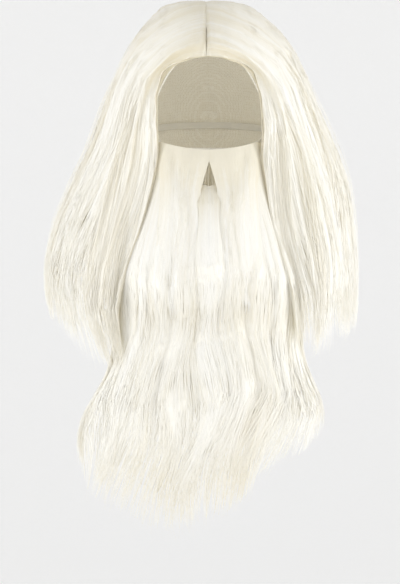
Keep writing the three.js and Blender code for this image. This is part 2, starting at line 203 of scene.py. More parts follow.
def curve(columns, along, name):
    """A smooth curve through one column of a table, read against a column that rises."""
    keys = columns[along]
    values = columns[name]
    last = len(keys) - 1

    def read(at):
        at = np.clip(at, keys[0], keys[-1])
        i = np.clip(np.searchsorted(keys, at, side="right"), 1, last)
        before = np.where(i == 1, i, i - 2)
        after = np.where(i == last, i - 1, np.minimum(i + 1, last))
        half = (keys[i] - keys[i - 1]) / 2
        p = (at - keys[i - 1]) / (2 * half)
        a = half / (keys[i - 1] - keys[before])
        b = half / (keys[after] - keys[i])
        total = values[before] * (-a * p**3 + 2 * a * p**2 - a * p)
        total = total + values[i - 1] * ((1 + a) * p**3 - (1.5 + 2 * a) * p**2 + (a - 0.5) * p + 1)
        total = total + values[i] * (-(1 + b) * p**3 + (1.5 + b) * p**2 + 0.5 * p)
        return total + values[after] * (b * p**3 - b * p**2)

    return read


def curves(columns, along):
    """Every other column of a table as a curve against one of them."""
    made = {name: curve(columns, along, name) for name in columns if name != along}
    return Named(**made)


def bell_against_run():
    """The outside of the wig against the run from the crown along its mean profile."""
    widening = np.diff(BELL["left"] + BELL["right"]) / 2
    steps = np.hypot(np.diff(BELL["drop"]), widening)
    return {**BELL, "run": np.concatenate([[0], np.cumsum(steps)])}


bell = curves(bell_against_run(), "run")
run_at = curve(bell_against_run(), "drop", "run")
fall = curves(FALL, "at")
cap_rim = curves(CAP_RIM, "angle").drop
jaw = curves(JAW, "drop")
backing_edge = curves(BACKING_EDGE, "turn")
beard = curves(BEARD, "drop")
beard_fall = curves(BEARD_FALL, "across")
moustache_edge = curves(MOUSTACHE, "drop")


def lerp(a, b, share):
    return a + (b - a) * share


def smooth(value, start, end):
    """From 0 at start to 1 at end, easing in and out."""
    share = np.clip((value - start) / (end - start), 0, 1)
    return share * share * (3 - 2 * share)


def shoulder(value, radius):
    """From 0 to 1 over a radius, as a quarter of a circle rises and rounds off."""
    return np.sqrt(1 - (1 - np.clip(value / radius, 0, 1)) ** 2)


def stack(x, y, z):
    """Points from their coordinates."""
    return np.stack(np.broadcast_arrays(x, y, z), axis=-1)


def unit(vectors):
    length = np.linalg.norm(vectors, axis=-1, keepdims=True)
    return vectors / np.maximum(length, 1e-9)


def vary(lock, salt):
    """A number from 0 to 1 that differs from lock to lock."""
    wave = np.sin(lock * 12.9898 + salt * 78.233) * 43758.5453
    return wave - np.floor(wave)


def lock_form(across, count, salt):
    """Ridge height and shortening of the lock that lies at a share of the way across a hair mass."""
    lock = np.minimum(count - 1, np.floor(across * count))
    arch = np.minimum(1, LOCK.crest * np.sin(np.pi * np.clip(across * count - lock, 0, 1)))
    ridge = arch * LOCK.ridge * lerp(LOCK.least, LOCK.most, vary(lock, salt))
    shortened = lerp(LOCK.notch, LOCK.uneven * vary(lock, salt + 1), arch)
    middle = (lock + 0.5) / count
    return Named(ridge=ridge, shortened=shortened, arch=arch, middle=middle, salt=salt)


def tress_relief(across, run, salt):
    """Soft ridges of the tresses inside the locks, which wander as they run down."""
    wander = 0.3 * np.sin(run / 90 + salt + 9 * across) + 0.2 * np.sin(run / 41 + 3 * salt)
    broad = np.sin(2 * np.pi * (TRESS.broad * across + wander) + salt)
    fine = np.sin(2 * np.pi * (TRESS.fine * across - 1.4 * wander) + 2 * salt)
    return (TRESS.heights[0] * broad + TRESS.heights[1] * fine) * smooth(run, *TRESS.rises)


def crimp(at, run, salt):
    """Shallow bends beside the parting, where the hair was pressed flat."""
    near = smooth(run, *CRIMP.begins) * (1 - smooth(run, *CRIMP.fades)) * (1 - smooth(at, *CRIMP.front))
    return CRIMP.height * near * np.sin(2 * np.pi * (run / CRIMP.pitch + 0.6 * np.sin(13 * at + salt)))


def head_point(angle, drop, clear):
    lean = np.arccos(1 - drop / HEAD.height)
    x = (HEAD.half_width + clear) * np.sin(lean) * np.sin(angle)
    y = -(HEAD.half_length + clear) * np.sin(lean) * np.cos(angle)
    return stack(x, y, (HEAD.height + clear) * np.cos(lean) - HEAD.height)


def core_of(points):
    """The point inside the head, or below it, that a point of the wig's hair stands out from."""
    z = np.minimum(points[..., 2], -HEAD.height)
    return stack(np.zeros_like(z), np.zeros_like(z), z)


def on_head(through, clear):
    core = core_of(through)
    ray = unit(through - core)
    axes = np.array([HEAD.half_width, HEAD.half_length, HEAD.height]) + clear
    reach = np.linalg.norm(ray / axes, axis=-1, keepdims=True)
    return core + ray / reach


def wig_place(side, at, share, shortened):
    """Outside of the wig's hair: side is -1 left or 1 right, share runs from the root to the tip."""
    begin = fall.root(at)
    run = lerp(begin, wig_length(side, at, shortened), share**WIG_PACE)
    turn = 1 - (1 - np.minimum(1, (run - begin) / fall.sweep(at))) ** 3
    drop = bell.drop(run)
    hanging = smooth(drop, *SWAY.drops)
    wave = np.sin(run / SWAY.pitch * 2 * np.pi + at * 31)
    sway = SWAY.angle * hanging * wave * np.sin(at * np.pi)
    corner = CORNER.angle * (1 - smooth(at, *CORNER.at)) * (1 - smooth(drop, *CORNER.drops))
    settled = lerp(fall.temple(at) + corner, fall.tip(at), hanging)
    angle = np.radians(lerp(fall.start(at), settled, turn) + sway)
    width = np.where(side < 0, bell.left(run), bell.right(run))
    depth = np.where(np.cos(angle) > 0, bell.front(run), bell.back(run))
    aside = PARTING.x * (1 - smooth(run - begin, 0, PARTING.fade))
    outer = stack(side * width * np.sin(angle) + aside, -depth * np.cos(angle), -drop)
    return outer, drop, run - begin


def wig_length(side, at, shortened):
    """Run from the crown to the tips."""
    return run_at(np.where(side < 0, fall.left(at), fall.right(at)) - shortened)


def wig_point(side, at, share, out, lock, shortened):
    """A point of the wig's hair from its inside (out 0) to its outside (out 1), and the way out."""
    outer, drop, from_root = wig_place(side, at, share, shortened)
    outward = unit(outer - core_of(outer))
    seat = on_head(outer, CAP_WALL + HAIR_CLEAR)
    whole = wig_length(side, at, lock.shortened) - fall.root(at)
    tip = smooth(np.clip(from_root / whole, 0, 1) ** (1 / WIG_PACE), TIP.start, 1)
    hang = lerp(HANG.thickness, TIP.thickness, tip)
    free = outer - outward * hang[..., None]
    inner = lerp(seat, free, smooth(drop, HANG.leaves_head, HANG.free)[..., None])
    root = lerp(ROOT.hairline, ROOT.crown, smooth(at, *ROOT.fills))
    rise = lerp(root, 1, shoulder(from_root, ROOT.wig_run))
    raised = lock.ridge * smooth(from_root, *LOCK.wig_rise)
    raised = raised + tress_relief(at / SIDE_END, from_root, lock.salt)
    raised = raised + crimp(at, from_root, lock.salt)
    outer = outer + outward * (raised * (1 - tip))[..., None]
    lift, edge = front_edge(at, drop)
    return lerp(inner, outer, (lift + out * rise * edge)[..., None]), outward


def front_edge(at, drop):
    """Lift off the head towards the front edge, and share of the full depth."""
    thin = lerp(FRONT.upper, FRONT.lower, smooth(drop, *FRONT.thins))
    run = lerp(FRONT.narrow, FRONT.wide, smooth(drop, *FRONT.widens))
    edge = lerp(thin, 1, smooth(at / run, 0, 1))
    lift = (1 - edge) * smooth(drop, *FRONT.lifts) * (1 - smooth(drop, *FRONT.settles))
    return lift, edge


def on_jaw(turn, drop, clear):
    angle = turn * np.pi / 2
    x = (jaw.half_width(drop) + clear) * np.sin(angle)
    y = lerp(jaw.end(drop), jaw.front(drop) - clear, np.cos(angle))
    return stack(x, y, -drop)


def beard_root(turn):
    """Upper edge of the beard's hair, which reaches up to the mouth in the middle."""
    aside = np.abs(turn)
    lip = LIP.dip * (1 - smooth(aside, *LIP.dips)) - LIP.rise * (1 - smooth(aside, *LIP.rises))
    cheek = smooth(aside, *CHEEK.begins) * (1 - smooth(aside, *CHEEK.ends))
    return beard_fall.root(turn) + lip - CHEEK.rise * cheek


def beard_waves(turn, drop):
    """Slow waves of the hanging beard, to the side and outwards."""
    loose = smooth(drop, *WAVE.loosens)
    phase = 2 * np.pi * drop / WAVE.pitch + 1.9 * np.sin(2.6 * turn + 0.6) + 0.9 * np.sin(8.3 * turn)
    crease = smooth(drop, *CREASE.begins) * (1 - smooth(drop, *CREASE.ends))
    swell = np.cos(2 * np.pi * (drop - CREASE.middle + 9 * np.sin(5 * turn)) / CREASE.pitch)
    forward = WAVE.forward * loose * np.cos(phase) + CREASE.height * crease * swell
    return WAVE.aside * loose * np.sin(phase), forward


def beard_surface(turn, drop, ridge, tip):
    """Outside of the beard, from its left edge (turn -1) to its right edge (turn 1)."""
    angle = turn * np.pi / 2
    width = np.where(turn < 0, beard.left(drop), beard.right(drop))
    aside, forward = beard_waves(turn, drop)
    right = smooth(drop, *SWEEP.right_drops) * smooth(turn, *SWEEP.turns)
    sweep = SWEEP.whole * smooth(drop, *SWEEP.drops) + SWEEP.right * right
    y = lerp(beard.edge(drop), beard.front(drop), np.cos(angle))
    tresses = tress_relief((turn + 1) / 2, drop - TRESS.beard_top, TRESS.beard_salt)
    raised = ridge * smooth(drop, *LOCK.beard_rise) + tresses
    return stack(width * np.sin(angle) + aside - sweep, y - forward - raised * (1 - tip), -drop)


def beard_point(turn, drop, out, ridge, tip):
    """A point of the beard's hair from its inside (out 0) to its outside (out 1)."""
    outer = beard_surface(turn, drop, ridge, tip)
    facing = np.cos(turn * np.pi / 2)
    hang = lerp(BEARD_HANG.thickness, TIP.thickness, tip) * lerp(BEARD_HANG.edge_share, 1, facing)
    free = outer + stack(0, hang, 0)
    leaves = smooth(drop, BEARD_HANG.leaves_chin, BEARD_HANG.free)[..., None]
    inner = lerp(on_jaw(turn, drop, BEARD_CLEAR), free, leaves)
    rise = lerp(ROOT.beard, 1, shoulder(drop - beard_root(turn), ROOT.beard_run))
    return lerp(inner, outer, (out * rise)[..., None])


def beard_way_out(turn):
    """Square to the beard's flat oval section."""
    angle = turn * np.pi / 2
    return unit(stack(OVAL * np.sin(angle), -np.cos(angle), 0))


def beard_place(across, share, out, lock, shortened):
    """Points of the beard, across from its left to its right edge, down to its tips."""
    turn = 2 * across - 1
    root = beard_root(turn)
    drop = lerp(root, beard_fall.tip(turn) - shortened, share**BEARD_PACE)
    whole = beard_fall.tip(turn) - lock.shortened - root
    tip = smooth(np.clip((drop - root) / whole, 0, 1) ** (1 / BEARD_PACE), TIP.start, 1)
    points = beard_point(turn, drop, out, lock.ridge, tip)
    chin = smooth(drop, *CHIN.begins) * (1 - smooth(drop, *CHIN.ends))
    chin = chin * (1 - smooth(np.abs(turn), *CHIN.turns))
    points[..., 1] -= CHIN.swell * chin * out
    return points, beard_way_out(turn)


def turn_at(x, half_width):
    return np.arcsin(np.clip(x / half_width, -1, 1)) * 2 / np.pi


def moustache_place(side):
    """Points of half of the moustache, across from the middle to the cheek, down to its tips."""

    def place(across, share, out, lock, shortened):
        root = HALF.root - HALF.arch * across**2
        drop = lerp(root, HALF.tip - HALF.uneven * shortened, share)
        x = side * moustache_reach(across, drop)
        turn = turn_at(x, beard.left(drop) if side < 0 else beard.right(drop))
        depth = moustache_depth(across, drop, lock)
        return stack(x, moustache_seat(x, turn, drop) - out * depth, -drop), beard_way_out(turn)

    return place


def moustache_reach(across, drop):
    """Distance from the middle, between the inner and the outer edge."""
    parted = HALF.parted * (1 - smooth(drop, *HALF.parts))
    inner = moustache_edge.inner(drop) - parted - HALF.closed * smooth(drop, *HALF.closes)
    flared = HALF.flared * (1 - smooth(drop, *HALF.flares))
    return lerp(inner, moustache_edge.outer(drop) + flared, across)


def moustache_seat(x, turn, drop):
    """How far forward the moustache begins: on the backing at its root, on the beard below it."""
    backing = on_jaw(turn_at(x, jaw.half_width(drop)), drop, BEARD_CLEAR)
    ridge = LOCK.ridge * lerp(*HALF.under, smooth(drop, *HALF.flattens))
    hair = beard_point(turn, drop, np.ones_like(drop), ridge, 0 * drop)
    step = smooth(drop - beard_root(turn), *HALF.step)
    return lerp(backing[..., 1], hair[..., 1] - HALF.sunk, step)


def moustache_depth(across, drop, lock):
    """Depth of the moustache: rounded across, swelling below its root and thin at its ends."""
    swell = lerp(HALF.least, 1, shoulder(drop - HALF.swells, HALF.run))
    swell = swell * (1 - HALF.thins * smooth(drop, *HALF.thinning))
    corner = HALF.corner * (1 - smooth(drop, *HALF.rounds))
    rounded = np.sin(np.pi * lerp(corner, 1, across))
    ridge = HALF.ridge * lock.ridge * smooth(across, *HALF.rises)
    return (moustache_edge.depth(drop) * rounded + ridge) * swell


def side_place(side):
    """Points of the hair of one side, across from the face edge to the back hair."""

    def place(across, share, out, lock, shortened):
        point, outward = wig_point(side, across * SIDE_END, share, out, lock, shortened)
        behind = smooth(point[..., 1], GROOVE.opens_y, GROOVE.closes_y)
        upper = smooth(out, GROOVE.floor, GROOVE.rim)
        edge = side * PARTING.x + GROOVE.half_width * (1 - behind) * upper
        x = np.maximum(side * point[..., 0], edge)
        near = 1 - smooth(x - side * PARTING.x, 0, GROOVE.reach)
        point[..., 0] = side * (x - GROOVE.overlap * behind * upper * near)
        return point, outward

    return place


def back_place(across, share, out, lock, shortened):
    """Points of the back hair, across from its right to its left edge."""
    offset = 1 - 2 * across
    at = 1 - np.abs(offset) * (1 - SIDE_END) * (1 + SIDE_LAP)
    return wig_point(np.where(offset < 0, -1, 1), at, share, out, lock, shortened)


class Chance:
    """Seeded chance for one mass of hair; what it draws is one column with a row for each strand."""

    def __init__(self, seed):
        self.draw = np.random.default_rng(seed)

    def even(self, low, high, size):
        return self.draw.uniform(low, high, (size, 1))

    def spread(self, count):
        """Shares of the way across, one strand in each equal step."""
        return (np.arange(count)[:, None] + self.even(0, 1, count)) / count

    def drift(self, at, knots):
        """A slow change from -1 to 1 across the hair, the same for neighbours."""
        values = self.draw.uniform(-1, 1, knots)
        share = at * (knots - 1)
        low = np.clip(np.floor(share), 0, knots - 2).astype(int)
        return lerp(values[low], values[low + 1], smooth(share - low, 0, 1))

    def tress(self, across, count):
        """Small groups of strands: the middle of each, and a chance that its strands share."""
        group = np.minimum(count - 1, np.floor(across * count)).astype(int)
        return (group + 0.5) / count, self.draw.random(count)[group]


def mesh_object(name, points, corners, totals):
    """An object from points, the corners of its faces and the number of each face's corners."""
    mesh = bpy.data.meshes.new(name)
    mesh.vertices.add(len(points))
    mesh.vertices.foreach_set("co", (points * MM).astype(np.float32).ravel())
    mesh.loops.add(len(corners))
    mesh.loops.foreach_set("vertex_index", corners.astype(np.int32))
    mesh.polygons.add(len(totals))
    starts = np.concatenate([[0], np.cumsum(totals)[:-1]])
    mesh.polygons.foreach_set("loop_start", starts.astype(np.int32))
    mesh.polygons.foreach_set("loop_total", totals.astype(np.int32))
    mesh.update(calc_edges=True)
    return linked(name, mesh)


def linked(name, mesh):
    """A smooth shaded object in the scene."""
    mesh.shade_smooth()
    piece = bpy.data.objects.new(name, mesh)
    bpy.context.scene.collection.objects.link(piece)
    return piece


def paint(mesh, name, values):
    """Stores one number for each point of a mesh."""
    layer = mesh.attributes.new(name, "FLOAT", "POINT")
    layer.data.foreach_set("value", np.asarray(values, dtype=np.float32).ravel())


# Strands: half widths and how they change along, angles of the corners, flatness, shading and streak
STRAND = Named(
    widths=(0.36, 0.78), root=0.6, root_run=(0, 0.15), fuller=0.3, fuller_run=(0.25, 0.7), point=0.88,
    corners=(90, 210, 330), flat=0.4, turned=0.4, facing=0.9, streak=(0.06, -0.06, 0),
)


def thickness(chance, count, share):
    """Half widths of strands, fine at the root and the tip."""
    size = chance.even(*STRAND.widths, count)
    fuller = lerp(STRAND.root, 1, smooth(share, *STRAND.root_run))
    fuller = fuller + STRAND.fuller * smooth(share, *STRAND.fuller_run)
    return size * fuller * (1 - STRAND.point * share**4)


def strand_faces(count, steps):
    """Corners of all faces, the number of each face's corners, and which of them face into the hair."""
    root = np.arange(count)[:, None] * steps * 3
    start = root + np.arange(steps - 1) * 3
    here = start[..., None] + np.arange(3)
    beside = start[..., None] + (np.arange(3) + 1) % 3
    sides = np.stack([here, here + 3, beside + 3, beside], axis=-1)
    end = root + (steps - 1) * 3
    caps = np.concatenate([root + np.array([0, 1, 2]), end + np.array([2, 1, 0])])
    corners = np.concatenate([sides.ravel(), caps.ravel()])
    totals = np.concatenate([np.full(sides.size // 4, 4), np.full(len(caps), 3)])
    inner = np.zeros(sides.shape, dtype=bool)
    inner[:, :, 1] = True
    return corners, totals, np.concatenate([inner.ravel(), np.zeros(caps.size, dtype=bool)])


def strands(name, chance, spine, outward, width, tone, share):
    """Closed three-sided strands in one mesh, from (strand, step) arrays of points."""
    count, steps = spine.shape[:2]
    tangent = unit(np.gradient(spine, axis=1))
    across = unit(np.cross(tangent, outward))
    lift = np.cross(across, tangent)[:, :, None]
    turn = np.radians(STRAND.corners)[:, None]
    reach = (width * thickness(chance, count, share))[:, :, None, None]
    ring = across[:, :, None] * np.cos(turn) + lift * np.sin(turn) * STRAND.flat
    points = (spine[:, :, None] + reach * ring).reshape(-1, 3)
    corners, totals, inner = strand_faces(count, steps)
    piece = mesh_object(name, points, corners, totals)
    out = unit(STRAND.turned * ring + STRAND.facing * lift).reshape(-1, 3)
    back = unit(STRAND.turned * ring - STRAND.facing * lift).reshape(-1, 3)
    facing = np.where(inner[:, None], back[corners], out[corners])
    piece.data.normals_split_custom_set(facing.tolist())
    tone = (tone[:, :, None] + np.array(STRAND.streak)).ravel()
    share = np.broadcast_to(share[:, None], (count, steps, 3)).ravel()
    paint(piece.data, "tone", tone)
    paint(piece.data, "share", share)
    lay_out(piece, corners, tone, share)
    return piece


def lay_out(piece, corners, tone, share):
    """Lays the faces out by tone and by share of the length, which is all that their colour follows."""
    placed = 0.01 + 0.98 * np.stack([tone, share], axis=-1)
    layer = piece.data.uv_layers.new(name="OFBake")
    layer.data.foreach_set("uv", placed[corners].astype(np.float32).ravel())


def flat_slab(columns, rows, hole):
    """A flat closed slab, one unit broad, long and thick; hole cuts faces out."""
    made = bmesh.new()
    bmesh.ops.create_grid(made, x_segments=columns, y_segments=rows, size=0.5)
    if hole:
        middles = [(face, face.calc_center_median()) for face in made.faces]
        cut = [face for face, at in middles if hole(at.x + 0.5, 0.5 - at.y)]
        bmesh.ops.delete(made, geom=cut, context="FACES")
    top = bmesh.ops.extrude_face_region(made, geom=made.faces[:], use_keep_orig=True)
    raised = [part for part in top["geom"] if isinstance(part, bmesh.types.BMVert)]
    bmesh.ops.translate(made, verts=raised, vec=(0, 0, 1))
    return made


def slab(name, columns, rows, place, hole=None):
    """A closed slab: place gives its points and tones from across, along and out; hole cuts faces out."""
    made = flat_slab(columns, rows, hole)
    flat = places(made)
    across, share, out = flat[:, 0] + 0.5, 0.5 - flat[:, 1], flat[:, 2]
    points, tone = place(across, share, out)
    move(made, points)
    face_outwards(made)
    piece = finished(name, made)
    paint(piece.data, "tone", tone)
    paint(piece.data, "share", share)
    paint(piece.data, "across", across)
    return piece


def places(made):
    return np.array([vert.co for vert in made.verts])


def move(made, points):
    for vert, point in zip(made.verts, points * MM):
        vert.co = point


def spun(chain, spokes):
    """A chain of points spun round the upright axis."""
    made = bmesh.new()
    verts = [made.verts.new(point) for point in chain]
    edges = [made.edges.new(pair) for pair in zip(verts[:-1], verts[1:])]
    bmesh.ops.spin(
        made, geom=verts + edges, cent=(0, 0, 0), axis=(0, 0, 1),
        angle=2 * math.pi, steps=spokes, use_merge=True,
    )
    bmesh.ops.remove_doubles(made, verts=made.verts[:], dist=1e-6)
    return made


def face_outwards(made):
    """Turns the faces of a closed piece outwards."""
    bmesh.ops.recalc_face_normals(made, faces=made.faces[:])
    if made.calc_volume(signed=True) < 0:
        bmesh.ops.reverse_faces(made, faces=made.faces[:])


def finished(name, made):
    mesh = bpy.data.meshes.new(name)
    made.to_mesh(mesh)
    made.free()
    return linked(name, mesh)


@dataclass
class Mass:
    """One mass of hair."""

    name: str
    place: object  # gives its points
    locks: int
    salt: int
    breadth: float
    wave: float
    flick: float  # how far the tips of tresses turn aside
    thin: tuple  # shares of the way across over which the first and the last edge thin out
    # painted shade: how much creamier the hair is made at each drop
    painted_shade: object  # how much creamier the hair is at each drop

    def lock(self, across):
        return lock_form(across, self.locks, self.salt)

    def fullness(self, across):
        """0 at a thin edge, 1 inside it, rounded in between."""
        first = np.clip(across / self.thin[0], 0, 1) if self.thin[0] else 1
        last = np.clip((1 - across) / self.thin[1], 0, 1) if self.thin[1] else 1
        return np.sqrt(1 - (1 - first * last) ** 2)


# The slab of hair under the strands: depths of its faces, its lower roots and its uneven end
SLAB = Named(
    inside=0.06, outside=0.985, middle=0.8, tip=0.92, lower=0.15, root_run=(0, 0.35),
    ragged=0.22, ragged_run=(0.4, 1), feather=(0.75, 1), closed=0.94, edge=0.02,
)
# How light the hair is: painted shade makes it creamier in the valleys between locks, on strands that lie
# deeper, at the inside and at its roots, painted light makes the crests of locks lighter, with slow
# changes across
TONE = Named(
    base=0.56, arch=0.1, depth=0.3, outer=0.95, drifts=((0.14, 9), (0.14, 23), (0.1, 71)), own=0.08,
    least=0.08, most=0.92, middle=0.6, contrast=2.0, grown=0.4, root=0.26, root_end=0.3, inside=0.4,
)


def lightness(tone, grown):
    """From cream (0) to near white (1); stronger and darker at the roots, where grown is 0, which is
    painted shade at the roots.
    """
    return (tone - TONE.middle) * (TONE.contrast - grown) + grown * TONE.grown + TONE.root


def under_hair(mass, columns, rows, end):
    """The closed slab of hair under the outer strands, which stops short of their tips unevenly."""

    def place(across, share, out):
        lock = mass.lock(across)
        wave = 2 * np.pi * mass.locks * across
        uneven = 0.5 + 0.3 * np.sin(0.9 * wave + mass.salt) + 0.2 * np.sin(2.3 * wave + 2 * mass.salt)
        feather = smooth(share, *SLAB.feather)
        share = share * end * (1 - SLAB.ragged * uneven * smooth(share, *SLAB.ragged_run))
        outside = SLAB.outside - SLAB.lower * (1 - smooth(share, *SLAB.root_run))
        depth = lerp(lerp(SLAB.inside, outside, out), SLAB.tip, SLAB.closed * feather)
        depth = lerp(SLAB.middle, depth, lerp(SLAB.edge, 1, mass.fullness(across)))
        points, _ = mass.place(across, share, depth, lock, lock.shortened)
        # Painted light and shade: lighter on the crests of locks, creamier by the mass's painted shade,
        # darker at the roots; the inside faces get one darker tone, painted shade
        tone = TONE.base + TONE.arch * lock.arch - mass.painted_shade(-points[..., 2])
        tone = lightness(tone, smooth(share, 0, TONE.root_end))
        return points, np.where(out > 0.5, tone, TONE.inside)

    return slab(mass.name + "_mass", columns, rows, place)


# Most strands lie near the outside of the hair, some at its inside
DEPTH = Named(outer=0.025, inner=0.1, inner_share=0.13)
# How strands run: how they draw together, wave, swing out and turn aside at the tips
FLOW = Named(
    pace=1.2, tress=4, gather=(0.05, 0.25), gathers=(0.5, 1), lock=0.12, locks=(0.65, 1),
    swing=(0.6, 1.4), waves=(0.12, 0.6), flicks=(0.6, 1), out=0.02, swings=(0.2, 0.8),
)
STRAY = Named(share=0.1, swing=6, out=0.25, longer=12, width=0.5)


def depths(chance, count):
    """How far out the strands lie."""
    outside = 1 - DEPTH.outer * chance.even(0, 1, count) ** 2
    inside = chance.even(0, DEPTH.inner, count)
    return np.where(chance.even(0, 1, count) < DEPTH.inner_share, inside, outside)


def tones(chance, across, lock, depth):
    """How light each strand is: slow and random changes, with painted light on the crests of locks and
    painted shade on strands that lie deeper.
    """
    slow = sum(height * chance.drift(across, knots) for height, knots in TONE.drifts)
    own = chance.even(-TONE.own, TONE.own, len(across))
    return TONE.base + TONE.arch * lock.arch + slow + own + TONE.depth * (depth - TONE.outer)


def strand_runs(mass, chance, across, share):
    """Where strands run across the hair, and which of them are stray."""
    count = len(across)
    middle, gathered = chance.tress(across, int(mass.breadth / FLOW.tress))
    bent = 0.7 * chance.drift(across, 17) + chance.even(-0.4, 0.4, count)
    stray = chance.even(0, 1, count) < STRAY.share
    path = lerp(across, middle, lerp(*FLOW.gather, gathered) * smooth(share, *FLOW.gathers))
    path = lerp(path, mass.lock(across).middle, FLOW.lock * smooth(share, *FLOW.locks))
    slow = np.sin(2 * np.pi * (1.2 * share + 0.6 * chance.drift(across, 9)))
    pace = 1.1 + 0.2 * chance.drift(across, 9)
    start = chance.drift(across, 9) + chance.even(0, 0.4, count)
    own = np.sin(2 * np.pi * (pace * share + start))
    swing = np.where(stray, STRAY.swing, chance.even(*FLOW.swing, count))
    path = path + (mass.wave * slow + swing * own) / mass.breadth * smooth(share, *FLOW.waves)
    path = path + mass.flick * bent / mass.breadth * smooth(share, *FLOW.flicks) ** 2
    return Named(path=np.clip(path, 0, 1), gathered=gathered, stray=stray, own=own)


def outer_hair(mass, count, steps, ragged, width):
    """The strands that lie on and in the slab: they wave, draw together and end unevenly."""
    chance = Chance(10 * mass.salt + mass.locks)
    across = chance.spread(count)
    share = np.linspace(0, 1, steps) ** FLOW.pace
    lock = mass.lock(across)
    run = strand_runs(mass, chance, across, share)
    depth = depths(chance, count)
    out = depth + np.where(run.stray, STRAY.out, FLOW.out) * run.own * smooth(share, *FLOW.swings)
    out = lerp(SLAB.middle, out, 0.5 + 0.5 * mass.fullness(run.path))
    shorter = 0.3 * lock.shortened - 4 + 22 * run.gathered + ragged * chance.even(0, 1, count) ** 2
    shorter = shorter - np.where(run.stray, STRAY.longer, 0)
    shares = np.broadcast_to(share, run.path.shape)
    under = Named(ridge=mass.lock(run.path).ridge, shortened=lock.shortened, salt=mass.salt)
    spine, outward = mass.place(run.path, shares, np.maximum(out, 0), under, shorter)
    # Painted shade: the mass makes its strands creamier at some drops
    tone = tones(chance, across, lock, depth) - mass.painted_shade(-spine[..., 2])
    tone = np.clip(tone, TONE.least, TONE.most)
    width = width * np.where(run.stray, STRAY.width, 1)
    return strands(mass.name + "_strands", chance, spine, outward, width, tone, share)


# Rows on the inside of the cap, and the binding round its rim
CAP_ROWS = Named(pitch=13, height=0.7, begins=(6, 20), rings=72, spokes=96)
BINDING = Named(height=0.6, begins=(0.95, 0.97), rounds=(0.985, 1))


def cap_net(name):
    """The net cap: a profile of two faces spun round and drawn down over the head to its rim."""
    shares = np.linspace(0, 1, CAP_ROWS.rings)
    profile = [(share, 0, 1) for share in shares] + [(share, 0, 0) for share in shares[::-1]]
    made = spun(profile, CAP_ROWS.spokes)
    flat = places(made)
    angle = np.arctan2(flat[:, 0], -flat[:, 1])
    move(made, cap_points(np.hypot(flat[:, 0], flat[:, 1]), angle, flat[:, 2]))
    face_outwards(made)
    return finished(name, made)


def cap_points(share, angle, out):
    rim_lean = np.arccos(1 - cap_rim(np.abs(np.degrees(angle))) / HEAD.height)
    drop = HEAD.height * (1 - np.cos(share * rim_lean))
    row = np.clip(np.cos(drop / CAP_ROWS.pitch * 2 * np.pi) * 2 - 1, 0, 1)
    row = row * smooth(drop, *CAP_ROWS.begins)
    binding = smooth(share, *BINDING.begins) * (1 - 0.5 * smooth(share, *BINDING.rounds))
    relief = np.maximum(CAP_ROWS.height * row, BINDING.height * binding)
    clear = np.where(out > 0.5, CAP_WALL, -relief)
    return head_point(angle, drop, clear)


def seam_place(across, share, out):
    """Points of the woven strip along the parting, on top of the cap."""
    y = lerp(PARTING.back_y, PARTING.front_y, share)
    x = PARTING.x + (2 * across - 1) * PARTING.half_width
    height = np.sqrt(1 - (y / HEAD.half_length) ** 2 - (x / HEAD.half_width) ** 2)
    skin = stack(x, y, HEAD.height * (height - 1))
    rise = PARTING.wall * (1 - PARTING.rounded * (2 * across - 1) ** 2)
    return on_head(skin, (CAP_WALL + PARTING.seat + out * rise)[..., None]), 0 * out


def in_mouth(across, share):
    beside = abs(2 * across - 1) < MOUTH_BLOCK.columns
    return beside and MOUTH_BLOCK.first_row < share < MOUTH_BLOCK.last_row


def backing_place(across, share, out):
    """Points of the backing: its columns part round the mouth and its edges are turned over."""
    reach = np.abs(2 * across - 1)
    top, bottom = backing_edge.top(reach), backing_edge.bottom(reach)
    drop = lerp(top, bottom, share)
    drops = (MOUTH.apex_drop, MOUTH.base_drop)
    mouth = np.interp(drop, drops, (MOUTH.apex_half_width, MOUTH.base_half_width))
    mouth = turn_at(mouth, jaw.half_width(drop))
    beyond = (reach - MOUTH_BLOCK.columns) / (1 - MOUTH_BLOCK.columns)
    turn = np.where(beyond < 0, mouth * reach / MOUTH_BLOCK.columns, lerp(mouth, 1, beyond))
    beside = np.maximum(turn - mouth, 0) * BACKING.half_arc
    above = np.maximum(np.maximum(drops[0] - drop, drop - drops[1]), 0)
    rims = (drop - top, bottom - drop, (1 - turn) * BACKING.half_arc, np.hypot(beside, above))
    hem = BACKING.hem_rise * (1 - smooth(np.minimum.reduce(rims), BACKING.hem - 1, BACKING.hem))
    return on_jaw(np.sign(across - 0.5) * turn, drop, out * (BACKING.wall + hem)), 0 * out


def elastic_place(across, share, out):
    """Points of the ribbed band from one end of the backing round the back of the head."""
    middle = lerp(ELASTIC.back_drop, ELASTIC.side_drop, (2 * across - 1) ** 2)
    drop = middle + (share - 0.5) * ELASTIC.width
    groove = RIBS.depth * (1 - np.abs(np.sin(np.pi * RIBS.count * share)))
    clear = -ELASTIC.clear - lerp(ELASTIC.wall - groove, groove, out)
    begin = np.arccos(ELASTIC.front_y / head_point(0, drop, clear)[..., 1])
    return head_point(lerp(begin, 2 * np.pi - begin, across), drop, clear), 0 * out


class Value:
    """A number or colour on a surface; arithmetic on it adds Math nodes."""

    def __init__(self, finish, socket):
        self.finish = finish
        self.socket = socket

    def math(self, operation, first, second):
        return self.finish.node("ShaderNodeMath", {"operation": operation}, {0: first, 1: second})

    def __add__(self, other):
        return self.math("ADD", self, other)

    def __radd__(self, other):
        return self.math("ADD", other, self)

    def __sub__(self, other):
        return self.math("SUBTRACT", self, other)

    def __rsub__(self, other):
        return self.math("SUBTRACT", other, self)

    def __mul__(self, other):
        return self.math("MULTIPLY", self, other)

    def __rmul__(self, other):
        return self.math("MULTIPLY", other, self)


